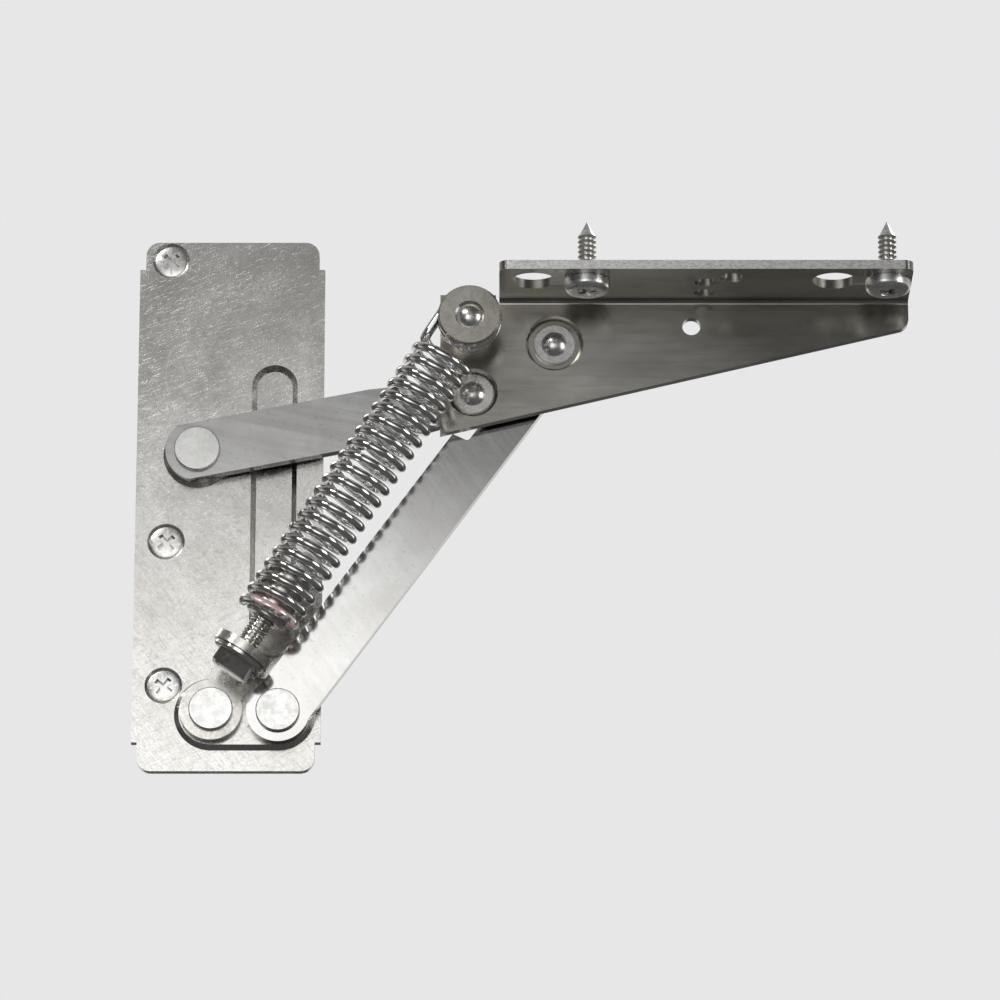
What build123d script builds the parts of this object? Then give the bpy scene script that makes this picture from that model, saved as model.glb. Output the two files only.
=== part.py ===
from build123d import *
from math import acos, atan2, cos, degrees, hypot, radians, sin
import os

# Lid stay: a sprung four-bar fitting that lifts a cabinet flap.
# The base plate is screwed to the cabinet side, whose face is the plane Y = 0, and the
# fitting stands in front of it, towards -Y. X runs out of the cabinet, Z runs up.
# The origin is midway between the two upper cabinet screws. The flap is modelled open.
# A "level" is a distance in front of the cabinet side, so level 5 is the plane Y = -5.

# ---- Sheets, gaps and layers ----
plate_thickness = 2.0
arm_thickness = 2.5
bracket_thickness = 2.0
stirrup_thickness = 2.0
pivot_rise = 1.2            # raised seats that lift the arms off the base plate
dish_depth = 1.3            # round dishes that bring the bracket back to the arms
face_gap = 0.1              # between flat faces that slide on each other
pin_gap = 0.05              # radial, where a rivet or thread turns in its hole
fixed_gap = 0.02            # radial, where a rivet is set firmly in its hole
seat_gap = 0.05             # under the heads of screws and rivets

# ---- Pivots, as X and Z ----
upper_arm_base_x = 6.5
upper_arm_base_z = -12.5
lower_arm_base_x = 24.4
lower_arm_base_z = -70.6
spring_base_x = 10.25
spring_base_z = -70.2
upper_arm_lid_x = 65.4
upper_arm_lid_z = -0.8
lower_arm_lid_x = 82.85
lower_arm_lid_z = 10.4
spring_post_x = 64.75
spring_post_z = 12.2

# ---- Base plate ----
cabinet_screw_spacing = 64.0
lower_screw_spacing = 32.0
plate_width = 40.0
plate_rear_margin = 6.65    # rear edge to the screw line
plate_top_margin = 4.2
plate_bottom_margin = 18.8
plate_end_length = 6.3      # each end is a little narrower than the middle
plate_end_step = 1.25
plate_corner_radius = 3.0
platform_radius = 7.9       # raised seat that the lower arm and the spring share
pivot_boss_radius = 6.2
seat_wall_taper = 40.0      # degrees, the sloped walls of the raised seats
groove_width = 9.8
groove_depth = 1.3
groove_top_z = 8.0
groove_bottom_z = -58.0
groove_x = 22.8
groove_taper = 40.0

# ---- Arms ----
upper_arm_half_width = 6.2
upper_arm_end_radius = 6.8
upper_arm_nose_radius = 4.2
upper_arm_taper_length = 21.5
lower_arm_half_width = 6.3
lower_arm_end_radius = 6.7
notch_start = 13.8          # from the lid pivot, down the lower arm
notch_end = 27.8
notch_side = 2.7            # from the centreline of the lower arm
notch_slope = 1.8
notch_corner_radius = 0.8

# ---- Rivets ----
rivet_radius = 2.5
base_rivet_head_radius = 4.65
upper_rivet_head_radius = 4.9
rivet_head_height = 1.0
rivet_tail_radius = 3.6
rivet_tail_height = 0.9
rivet_edge = 0.2
dome_rivet_collar_radius = 4.5
dome_rivet_collar_height = 0.6
dome_radius = 2.75
dome_height = 1.3

# ---- Lid bracket ----
web_rear_margin = 7.0       # pivot of the upper arm to the rear edge
web_low_margin = 9.4        # the same pivot down to the lower rear corner
web_rear_drop = 0.6         # rear part of the web stops short of the flange top
web_tip_depth = 8.0         # depth of the web at its tip, below the flange top
web_tip_radius = 2.5
flange_above_post = 9.8
flange_from_post = 6.3
bend_relief = 0.7
flange_length = 87.8
flange_reach = 19.7         # from the web's front face to the free edge
flange_corner_radius = 2.0
bend_inner_radius = 0.8
upper_dish_radius = 5.4
lower_dish_radius = 6.2
dish_taper = 30.0
lid_screw_spacing = 64.0
first_lid_screw_from_end = 18.7
lid_screw_line = 12.5       # from the web's front face
keyhole_travel = 11.4
keyhole_radius = 4.7
keyhole_slot_radius = 2.5
web_hole_radius = 1.95
web_hole_from_end = 41.2
web_hole_below_top = 7.8
spare_hole_radii = (2.3, 2.6, 2.1)
spare_holes_from_end = (43.9, 49.5, 43.8)
spare_holes_from_web = (11.4, 14.2, 5.1)

# ---- Spring post and spool ----
spool_stem_radius = 4.6
spool_flange_radius = 6.0
spool_flange_thickness = 1.5
spool_groove_play = 0.55    # each side of the spring wire
washer_radius = 6.75
washer_thickness = 1.5
washer_edge = 0.4
washer_sink_radius = 3.1
washer_sink_depth = 0.5
post_dome_rise = 0.5
post_tail_radius = 3.8
post_tail_height = 1.1

# ---- Spring, stirrup and adjusting bolt ----
spring_base_level = 12.5    # level of the spring's line at its base pivot
spring_post_level = 19.1    # level of the spring's line at the post
wire_radius = 1.05
coil_radius = 5.85          # to the middle of the wire
coil_turns = 22
coil_start = 21.7           # from the base pivot, along the spring's line
hook_leg_length = 8.6       # from the last turn to the middle of the hook, along the same line
wire_bend_swell = 0.03      # the wire thickens a little where it bends out of the coil
hook_gap = 0.1              # between the hook and the spool's groove
hook_opening = 40.0         # degrees left open in the hook
stirrup_eye_radius = 6.6
stirrup_neck_width = 8.0
tab_start = 11.7            # from the base pivot, along the spring's line
tab_radius = 6.5
tab_hole_radius = 2.7
bend_outer_radius = 2.2
bolt_across_flats = 8.0
bolt_head_height = 3.4
bolt_flange_radius = 5.9
bolt_flange_height = 1.2
bolt_thread_radius = 2.4
bolt_length = 19.0
plug_lead = 1.1             # the plug stands out of the coil's lower end by this
plug_length = 12.5
plug_radius = 4.6

# ---- Screws ----
plate_screw_head_radius = 3.5
plate_screw_radius = 1.75
plate_screw_length = 16.0
countersink_radius = 4.0
countersink_hole_radius = 2.1
lid_screw_head_radius = 4.8
lid_screw_head_height = 2.6
lid_screw_neck_radius = 2.3 # fills the keyhole's slot
lid_screw_neck_taper = 0.3
lid_screw_radius = 2.0
lid_screw_length = 13.5
screw_tip_length = 3.0
recess_width = 0.9
recess_span = 2.2           # half the length of the cross recess
recess_depth = 1.2

# ---- Worked out from the sizes above ----
seat_level = plate_thickness + pivot_rise
arm_back_level = seat_level + face_gap
arm_front_level = arm_back_level + arm_thickness
dish_back_level = arm_front_level + face_gap
dish_front_level = dish_back_level + bracket_thickness
web_back_level = dish_back_level + dish_depth
web_front_level = web_back_level + bracket_thickness
stirrup_front_level = arm_back_level + stirrup_thickness
hinge_hole_radius = rivet_radius + pin_gap
rivet_hole_radius = rivet_radius + fixed_gap

upper_arm_length = hypot(upper_arm_lid_x - upper_arm_base_x, upper_arm_lid_z - upper_arm_base_z)
lower_arm_length = hypot(lower_arm_lid_x - lower_arm_base_x, lower_arm_lid_z - lower_arm_base_z)
spring_run_x = spring_post_x - spring_base_x
spring_run_z = spring_post_z - spring_base_z
spring_line = Vector(spring_run_x, spring_base_level - spring_post_level, spring_run_z)
spring_direction = spring_line.normalized()
coil_end = spring_line.length - hook_leg_length
plug_start = coil_start - plug_lead
spring_origin = Vector(spring_base_x, -spring_base_level, spring_base_z)
spring_left = Vector(-spring_run_z, 0, spring_run_x).normalized()
spring_turn = degrees(atan2(spring_run_z, spring_run_x))
spring_tilt = atan2(spring_post_level - spring_base_level, hypot(spring_run_x, spring_run_z))


def front_plane(x, z, level, turn=0.0):
    """A sketch plane at a level that faces the front, its x axis turned up from X."""
    along = (cos(radians(turn)), 0, sin(radians(turn)))
    return Plane(origin=(x, -level, z), x_dir=along, z_dir=(0, -1, 0))


def spring_plane(distance):
    """A plane square to the spring's line: x points to the rear, y to the front."""
    return Plane(
        origin=spring_origin + spring_direction * distance,
        x_dir=spring_left,
        z_dir=spring_direction,
    )


def turning_plane(x, z):
    """A plane through a pivot's axis: x is the radius, y is the level."""
    return Plane(origin=(x, 0, z), x_dir=(1, 0, 0), z_dir=(0, 0, -1))


def cap_middle(radius, base_level, rise):
    """A point halfway round a domed end, as radius and level."""
    sphere_radius = (radius**2 + rise**2) / (2 * rise)
    half_angle = atan2(radius, sphere_radius - rise) / 2
    centre_level = base_level + rise - sphere_radius
    return sphere_radius * sin(half_angle), centre_level + sphere_radius * cos(half_angle)


def tangent_point(x, y, centre_x, radius):
    """Where a line from (x, y) touches the upper side of a circle centred on the x axis."""
    reach = hypot(x - centre_x, y)
    angle = atan2(y, x - centre_x) - acos(radius / reach)
    return centre_x + radius * cos(angle), radius * sin(angle)


def export(piece, name):
    piece.part.label = name
    export_step(piece.part, f"parts/{name}.step")


os.makedirs("parts", exist_ok=True)

# ---- Base plate: stepped ends, raised pivot seats, one coined groove ----
plate_height = cabinet_screw_spacing + lower_screw_spacing + plate_top_margin + plate_bottom_margin
plate_top_z = cabinet_screw_spacing / 2 + plate_top_margin
plate_middle_x = plate_width / 2 - plate_rear_margin
plate_middle_z = plate_top_z - plate_height / 2
cabinet_screw_zs = (
    cabinet_screw_spacing / 2,
    -cabinet_screw_spacing / 2,
    -cabinet_screw_spacing / 2 - lower_screw_spacing,
)
platform_x = (spring_base_x + lower_arm_base_x) / 2
platform_z = (spring_base_z + lower_arm_base_z) / 2
platform_span = lower_arm_base_x - spring_base_x
groove_middle_z = (groove_top_z + groove_bottom_z) / 2
groove_height = groove_top_z - groove_bottom_z

with BuildPart() as base_plate:
    with BuildSketch(front_plane(plate_middle_x, plate_middle_z, 0)):
        Rectangle(plate_width, plate_height - 2 * plate_end_length)
        RectangleRounded(plate_width - 2 * plate_end_step, plate_height, plate_corner_radius)
    extrude(amount=plate_thickness)
    with BuildSketch(front_plane(platform_x, platform_z, plate_thickness)):
        SlotCenterToCenter(platform_span, 2 * platform_radius)
    extrude(amount=pivot_rise, taper=seat_wall_taper)
    with BuildSketch(front_plane(upper_arm_base_x, upper_arm_base_z, plate_thickness)):
        Circle(pivot_boss_radius + pivot_rise)
    extrude(amount=pivot_rise, taper=seat_wall_taper)
    with BuildSketch(front_plane(platform_x, platform_z, 0)):
        SlotCenterToCenter(platform_span, 2 * (platform_radius - pivot_rise))
    extrude(amount=pivot_rise, taper=seat_wall_taper, mode=Mode.SUBTRACT)
    with BuildSketch(front_plane(upper_arm_base_x, upper_arm_base_z, 0)):
        Circle(pivot_boss_radius)
    extrude(amount=pivot_rise, taper=seat_wall_taper, mode=Mode.SUBTRACT)
    with BuildSketch(front_plane(groove_x, groove_middle_z, plate_thickness)):
        SlotOverall(groove_height, groove_width, rotation=90)
    extrude(amount=-groove_depth, taper=groove_taper, mode=Mode.SUBTRACT)
    with Locations([front_plane(0, z, plate_thickness) for z in cabinet_screw_zs]):
        CounterSinkHole(countersink_hole_radius, countersink_radius, plate_thickness)
    with Locations(
        front_plane(upper_arm_base_x, upper_arm_base_z, seat_level),
        front_plane(lower_arm_base_x, lower_arm_base_z, seat_level),
        front_plane(spring_base_x, spring_base_z, seat_level),
    ):
        Hole(rivet_hole_radius, seat_level)
export(base_plate, "base_plate")

# ---- Upper arm: a bar with a blunt round end, tapered to a small nose at the lid bracket ----
upper_arm_turn = degrees(atan2(upper_arm_lid_z - upper_arm_base_z, upper_arm_lid_x - upper_arm_base_x))
upper_arm_taper_x = upper_arm_length - upper_arm_taper_length
nose_x, nose_y = tangent_point(
    upper_arm_taper_x, upper_arm_half_width, upper_arm_length, upper_arm_nose_radius
)

with BuildPart() as upper_arm:
    with BuildSketch(front_plane(upper_arm_base_x, upper_arm_base_z, arm_back_level, upper_arm_turn)):
        Circle(upper_arm_end_radius)
        Rectangle(2 * upper_arm_length, 2 * upper_arm_half_width, mode=Mode.INTERSECT)
        with BuildLine():
            Polyline(
                (0, -upper_arm_half_width),
                (upper_arm_taper_x, -upper_arm_half_width),
                (nose_x, -nose_y),
            )
            ThreePointArc((nose_x, -nose_y), (upper_arm_length + upper_arm_nose_radius, 0), (nose_x, nose_y))
            Polyline(
                (nose_x, nose_y),
                (upper_arm_taper_x, upper_arm_half_width),
                (0, upper_arm_half_width),
                (0, -upper_arm_half_width),
            )
        make_face()
        with Locations((0, 0), (upper_arm_length, 0)):
            Circle(rivet_hole_radius, mode=Mode.SUBTRACT)
    extrude(amount=arm_thickness)
export(upper_arm, "upper_arm")

# ---- Lower arm: a longer bar, notched where the nose of the upper arm comes to rest ----
lower_arm_turn = degrees(atan2(lower_arm_lid_z - lower_arm_base_z, lower_arm_lid_x - lower_arm_base_x))

with BuildPart() as lower_arm:
    with BuildSketch(front_plane(lower_arm_base_x, lower_arm_base_z, arm_back_level, lower_arm_turn)):
        Circle(lower_arm_end_radius)
        with Locations((lower_arm_length / 2, 0)):
            SlotCenterToCenter(lower_arm_length, 2 * lower_arm_half_width)
        with BuildLine():
            Polyline(
                (lower_arm_length - notch_start, notch_side),
                (lower_arm_length - notch_end, notch_side),
                (lower_arm_length - notch_end - notch_slope, 2 * lower_arm_half_width),
                (lower_arm_length - notch_start + notch_slope, 2 * lower_arm_half_width),
                close=True,
            )
        make_face(mode=Mode.SUBTRACT)
        Circle(hinge_hole_radius, mode=Mode.SUBTRACT)
        with Locations((lower_arm_length, 0)):
            Circle(rivet_hole_radius, mode=Mode.SUBTRACT)
    extrude(amount=arm_thickness)
    middle_level = arm_back_level + arm_thickness / 2
    middle_plane = front_plane(lower_arm_base_x, lower_arm_base_z, middle_level, lower_arm_turn)
    for distance in (notch_start, notch_end):
        corner = middle_plane.from_local_coords((lower_arm_length - distance, notch_side, 0))
        fillet(lower_arm.edges().filter_by(Axis.Y).sort_by_distance(corner)[0], notch_corner_radius)
export(lower_arm, "lower_arm")

# ---- Lid bracket: a tapering web with two dishes and a folded flange with keyholes ----
flange_start_x = spring_post_x + flange_from_post
flange_end_x = flange_start_x + flange_length
flange_top_z = spring_post_z + flange_above_post
flange_under_z = flange_top_z - bracket_thickness
bend_outer_rise = bend_inner_radius + bracket_thickness
fold_low_z = flange_top_z - bend_outer_rise - bracket_thickness
web_rear_x = upper_arm_lid_x - web_rear_margin
web_low_z = upper_arm_lid_z - web_low_margin
web_tip_z = flange_top_z - web_tip_depth
flange_edge_level = web_front_level + flange_reach
lid_screw_level = web_front_level + lid_screw_line
lid_screw_xs = (
    flange_start_x + first_lid_screw_from_end,
    flange_start_x + first_lid_screw_from_end + lid_screw_spacing,
)

with BuildPart() as lid_bracket:
    with BuildSketch(front_plane(0, 0, web_back_level)) as web:
        with BuildLine():
            Polyline(
                (web_rear_x, flange_top_z - web_rear_drop),
                (web_rear_x, web_low_z),
                (flange_end_x, web_tip_z),
                (flange_end_x, fold_low_z + bracket_thickness),
                (flange_start_x, fold_low_z + bracket_thickness),
                (flange_start_x, fold_low_z),
                (flange_start_x - bend_relief, fold_low_z),
                (flange_start_x - bend_relief, flange_top_z - web_rear_drop),
                close=True,
            )
        make_face()
        fillet(web.vertices().sort_by_distance((flange_end_x, web_tip_z))[0], web_tip_radius)
    extrude(amount=bracket_thickness)
    with BuildSketch(Plane.YZ.offset(flange_start_x)):
        with BuildLine():
            Line((-web_back_level, fold_low_z), (-web_back_level, flange_top_z - bend_outer_rise))
            RadiusArc(
                (-web_back_level, flange_top_z - bend_outer_rise),
                (-web_back_level - bend_outer_rise, flange_top_z),
                -bend_outer_rise,
            )
            Polyline(
                (-web_back_level - bend_outer_rise, flange_top_z),
                (-flange_edge_level, flange_top_z),
                (-flange_edge_level, flange_under_z),
                (-web_front_level - bend_inner_radius, flange_under_z),
            )
            RadiusArc(
                (-web_front_level - bend_inner_radius, flange_under_z),
                (-web_front_level, flange_under_z - bend_inner_radius),
                bend_inner_radius,
            )
            Polyline(
                (-web_front_level, flange_under_z - bend_inner_radius),
                (-web_front_level, fold_low_z),
                (-web_back_level, fold_low_z),
            )
        make_face()
    extrude(amount=flange_length)
    flange_corners = lid_bracket.edges().filter_by(Axis.Z).group_by(Axis.Y)[0]
    fillet(flange_corners, flange_corner_radius)
    for x, z, radius in (
        (upper_arm_lid_x, upper_arm_lid_z, upper_dish_radius),
        (lower_arm_lid_x, lower_arm_lid_z, lower_dish_radius),
    ):
        with BuildSketch(front_plane(x, z, web_back_level)):
            Circle(radius + dish_depth / 2)
        extrude(amount=-dish_depth, taper=dish_taper)
        with BuildSketch(front_plane(x, z, web_front_level)):
            Circle(radius)
        extrude(amount=-dish_depth, taper=dish_taper, mode=Mode.SUBTRACT)
    with Locations(
        front_plane(upper_arm_lid_x, upper_arm_lid_z, web_front_level),
        front_plane(lower_arm_lid_x, lower_arm_lid_z, web_front_level),
    ):
        Hole(hinge_hole_radius, web_front_level)
    with Locations(front_plane(spring_post_x, spring_post_z, web_front_level)):
        Hole(rivet_hole_radius, web_front_level)
    with Locations(
        front_plane(flange_start_x + web_hole_from_end, flange_top_z - web_hole_below_top, web_front_level)
    ):
        Hole(web_hole_radius, bracket_thickness)
    with BuildSketch(Plane.XY.offset(flange_top_z)):
        for screw_x in lid_screw_xs:
            with Locations((screw_x - keyhole_travel / 2, -lid_screw_level)):
                SlotCenterToCenter(keyhole_travel, 2 * keyhole_slot_radius)
            with Locations((screw_x - keyhole_travel, -lid_screw_level)):
                Circle(keyhole_radius)
        for radius, along, out in zip(spare_hole_radii, spare_holes_from_end, spare_holes_from_web):
            with Locations((flange_start_x + along, -web_front_level - out)):
                Circle(radius)
    extrude(amount=-bracket_thickness, mode=Mode.SUBTRACT)
export(lid_bracket, "lid_bracket")

# ---- Pivot rivets: each half section is turned about the pivot's axis ----


def shank(low_level, top_level):
    """Corners of a rivet's shank, from its axis outwards."""
    return [(0, low_level), (rivet_radius, low_level), (rivet_radius, top_level)]


def shank_with_tail(low_level, foot_level, top_level):
    """Corners of a shank with a closed-over tail below foot_level."""
    return [
        (0, low_level),
        (rivet_tail_radius, low_level),
        (rivet_tail_radius, foot_level),
        (rivet_radius, foot_level),
        (rivet_radius, top_level),
    ]


def flat_head(under_level, radius):
    """Corners of a flat head with a small bevel round its face."""
    face_level = under_level + rivet_head_height
    return [
        (radius, under_level),
        (radius, face_level - rivet_edge),
        (radius - rivet_edge, face_level),
        (0, face_level),
    ]


base_tail_level = pivot_rise - rivet_tail_height
loose_tail_level = arm_back_level - rivet_tail_height
flat_rivets = {
    "lower_arm_base_rivet": (
        lower_arm_base_x,
        lower_arm_base_z,
        shank_with_tail(base_tail_level, pivot_rise, arm_front_level + seat_gap)
        + flat_head(arm_front_level + seat_gap, base_rivet_head_radius),
    ),
    "spring_base_rivet": (
        spring_base_x,
        spring_base_z,
        shank_with_tail(base_tail_level, pivot_rise, stirrup_front_level + seat_gap)
        + flat_head(stirrup_front_level + seat_gap, base_rivet_head_radius),
    ),
    "upper_arm_base_rivet": (
        upper_arm_base_x,
        upper_arm_base_z,
        shank(arm_back_level, arm_front_level + seat_gap)
        + flat_head(arm_front_level + seat_gap, upper_rivet_head_radius),
    ),
    "upper_arm_base_rivet_tail": (
        upper_arm_base_x,
        upper_arm_base_z,
        shank_with_tail(base_tail_level, pivot_rise, seat_level) + [(0, seat_level)],
    ),
}
for rivet_name, (rivet_x, rivet_z, section) in flat_rivets.items():
    with BuildPart() as flat_rivet:
        with BuildSketch(turning_plane(rivet_x, rivet_z)):
            with BuildLine():
                Polyline(*section, close=True)
            make_face()
        revolve(axis=Axis((rivet_x, 0, rivet_z), (0, 1, 0)))
    export(flat_rivet, rivet_name)

# ---- Rivets through the lid bracket: a thin collar in the dish, with a domed end ----
collar_level = dish_front_level + seat_gap
collar_top_level = collar_level + dome_rivet_collar_height
dome_top_level = collar_top_level + dome_height
dome_shoulder = cap_middle(dome_radius, collar_top_level, dome_height)
domed_rivets = {
    "upper_arm_lid_rivet": (upper_arm_lid_x, upper_arm_lid_z),
    "lower_arm_lid_rivet": (lower_arm_lid_x, lower_arm_lid_z),
}
for rivet_name, (rivet_x, rivet_z) in domed_rivets.items():
    with BuildPart() as domed_rivet:
        with BuildSketch(turning_plane(rivet_x, rivet_z)):
            with BuildLine():
                Polyline(
                    *shank_with_tail(loose_tail_level, arm_back_level, collar_level),
                    (dome_rivet_collar_radius, collar_level),
                    (dome_rivet_collar_radius, collar_top_level - rivet_edge),
                    (dome_rivet_collar_radius - rivet_edge, collar_top_level),
                    (dome_radius, collar_top_level),
                )
                ThreePointArc((dome_radius, collar_top_level), dome_shoulder, (0, dome_top_level))
                Line((0, dome_top_level), (0, loose_tail_level))
            make_face()
        revolve(axis=Axis((rivet_x, 0, rivet_z), (0, 1, 0)))
    export(domed_rivet, rivet_name)

# ---- Spring post, with the grooved spool and the washer that keep the hook in place ----
spool_groove_radius = coil_radius - wire_radius - hook_gap
groove_low_level = spring_post_level - wire_radius - spool_groove_play
groove_top_level = spring_post_level + wire_radius + spool_groove_play
washer_top_level = groove_top_level + washer_thickness
post_axis = Axis((spring_post_x, 0, spring_post_z), (0, 1, 0))
post_plane = turning_plane(spring_post_x, spring_post_z)
post_dome_level = washer_top_level - washer_sink_depth
post_tip_level = washer_top_level + post_dome_rise

with BuildPart() as spring_post:
    with BuildSketch(post_plane):
        with BuildLine():
            Polyline(
                (0, web_back_level - post_tail_height),
                (post_tail_radius, web_back_level - post_tail_height),
                (post_tail_radius, web_back_level),
                (rivet_radius, web_back_level),
                (rivet_radius, post_dome_level),
            )
            ThreePointArc(
                (rivet_radius, post_dome_level),
                cap_middle(rivet_radius, post_dome_level, post_tip_level - post_dome_level),
                (0, post_tip_level),
            )
            Line((0, post_tip_level), (0, web_back_level - post_tail_height))
        make_face()
    revolve(axis=post_axis)
export(spring_post, "spring_post")

with BuildPart() as spring_spool:
    with BuildSketch(post_plane):
        with BuildLine():
            Polyline(
                (rivet_hole_radius, web_front_level),
                (spool_stem_radius, web_front_level),
                (spool_stem_radius, groove_low_level - spool_flange_thickness),
                (spool_flange_radius, groove_low_level - spool_flange_thickness),
                (spool_flange_radius, groove_low_level),
                (spool_groove_radius, groove_low_level),
                (spool_groove_radius, groove_top_level),
                (rivet_hole_radius, groove_top_level),
                close=True,
            )
        make_face()
    revolve(axis=post_axis)
export(spring_spool, "spring_spool")

with BuildPart() as spool_washer:
    with BuildSketch(post_plane):
        with BuildLine():
            Polyline(
                (rivet_hole_radius, groove_top_level),
                (washer_radius, groove_top_level),
                (washer_radius, washer_top_level - washer_edge),
                (washer_radius - washer_edge, washer_top_level),
                (washer_sink_radius, washer_top_level),
                (rivet_hole_radius, post_dome_level),
                close=True,
            )
        make_face()
    revolve(axis=post_axis)
export(spool_washer, "spool_washer")

# ---- Spring stirrup: an eye on the base pivot, a neck, and a tab folded to the front ----
tab_level = spring_base_level + tab_start * sin(spring_tilt)
stirrup_side = Plane(
    origin=(spring_base_x, 0, spring_base_z),
    x_dir=(cos(radians(spring_turn)), 0, sin(radians(spring_turn))),
    z_dir=spring_left * -1,
)


def tab_point(distance, level):
    """A point of the tab's face that stands square to the spring's line at a distance."""
    rise = level - spring_base_level
    return (distance - rise * sin(spring_tilt)) / cos(spring_tilt), level


with BuildPart() as spring_stirrup:
    with BuildSketch(stirrup_side) as strip:
        with BuildLine():
            Polyline(
                (0, arm_back_level),
                tab_point(tab_start + stirrup_thickness, arm_back_level),
                tab_point(tab_start + stirrup_thickness, tab_level),
                tab_point(tab_start, tab_level),
                tab_point(tab_start, stirrup_front_level),
                (0, stirrup_front_level),
                close=True,
            )
        make_face()
        outer_bend = tab_point(tab_start + stirrup_thickness, arm_back_level)
        inner_bend = tab_point(tab_start, stirrup_front_level)
        fillet(strip.vertices().sort_by_distance(outer_bend)[0], bend_outer_radius)
        fillet(strip.vertices().sort_by_distance(inner_bend)[0], bend_inner_radius)
    extrude(amount=stirrup_neck_width / 2, both=True)
    with BuildSketch(front_plane(spring_base_x, spring_base_z, arm_back_level, spring_turn)):
        Circle(stirrup_eye_radius)
    extrude(amount=stirrup_thickness)
    with Locations(front_plane(spring_base_x, spring_base_z, stirrup_front_level)):
        Hole(hinge_hole_radius, stirrup_front_level)
    with BuildSketch(spring_plane(tab_start)):
        Circle(tab_radius)
    extrude(amount=stirrup_thickness)
    with Locations(spring_plane(tab_start + stirrup_thickness)):
        Hole(tab_hole_radius, 2 * stirrup_thickness)
export(spring_stirrup, "spring_stirrup")

# ---- Adjusting bolt: hexagon head and flange under the tab, thread up into the plug ----
bolt_flange_start = tab_start - seat_gap - bolt_flange_height
bolt_head_start = bolt_flange_start - bolt_head_height
bolt_chamfer_angle = 60.0

with BuildPart() as adjusting_bolt:
    with BuildSketch(spring_plane(bolt_head_start)):
        RegularPolygon(bolt_across_flats / 2, 6, major_radius=False)
    extrude(amount=bolt_head_height)
    with BuildSketch(spring_plane(bolt_head_start)):
        Circle(bolt_across_flats / 2)
    extrude(amount=bolt_head_height, taper=-bolt_chamfer_angle, mode=Mode.INTERSECT)
    with BuildSketch(spring_plane(bolt_flange_start)):
        Circle(bolt_flange_radius)
    extrude(amount=bolt_flange_height)
    with BuildSketch(spring_plane(bolt_flange_start)):
        Circle(bolt_thread_radius)
    extrude(amount=bolt_flange_height + seat_gap + bolt_length)
export(adjusting_bolt, "adjusting_bolt")

with BuildPart() as spring_plug:
    with BuildSketch(spring_plane(plug_start)):
        Circle(plug_radius)
        Circle(bolt_thread_radius + pin_gap, mode=Mode.SUBTRACT)
    extrude(amount=plug_length)
export(spring_plug, "spring_plug")

# ---- Tension spring: close coils, a bend, and a full hook round the spool ----
coil_height = coil_end - coil_start
coil_pitch = coil_height / coil_turns
coil_path = spring_plane(coil_start).location * Edge.make_helix(coil_pitch, coil_height, coil_radius)
hook_centre = Vector(spring_post_x, -spring_post_level, spring_post_z)
hook_plane = Plane(
    origin=hook_centre,
    x_dir=spring_direction,
    z_dir=spring_direction.cross(spring_left),
)

with BuildPart() as tension_spring:
    with BuildSketch(Plane(origin=coil_path @ 0, z_dir=coil_path % 0)):
        Circle(wire_radius)
    sweep(path=coil_path, is_frenet=True)
    with BuildLine(hook_plane):
        Line((-hook_leg_length, coil_radius), (0, coil_radius))
        CenterArc((0, 0), coil_radius, 90, hook_opening - 360)
    with BuildSketch(spring_plane(coil_end)):
        with Locations((coil_radius, 0)):
            Circle(wire_radius)
    sweep()
    with Locations(coil_path @ 1):
        Sphere(wire_radius + wire_bend_swell)
export(tension_spring, "tension_spring")

# ---- Countersunk screws through the base plate ----
screw_head_level = plate_thickness - (countersink_radius - plate_screw_head_radius) - seat_gap
screw_neck_level = screw_head_level - (plate_screw_head_radius - plate_screw_radius)
plate_screws = {
    "plate_screw_top": cabinet_screw_zs[0],
    "plate_screw_middle": cabinet_screw_zs[1],
    "plate_screw_bottom": cabinet_screw_zs[2],
}
for screw_name, screw_z in plate_screws.items():
    with BuildPart() as plate_screw:
        with BuildSketch(turning_plane(0, screw_z)):
            with BuildLine():
                Polyline(
                    (0, screw_head_level),
                    (plate_screw_head_radius, screw_head_level),
                    (plate_screw_radius, screw_neck_level),
                    (plate_screw_radius, screw_head_level - plate_screw_length + screw_tip_length),
                    (0, screw_head_level - plate_screw_length),
                    close=True,
                )
            make_face()
        revolve(axis=Axis((0, 0, screw_z), (0, 1, 0)))
        with BuildSketch(front_plane(0, screw_z, screw_head_level, 45)):
            Rectangle(2 * recess_span, recess_width)
            Rectangle(recess_width, 2 * recess_span)
        extrude(amount=-recess_depth, mode=Mode.SUBTRACT)
    export(plate_screw, screw_name)

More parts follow.
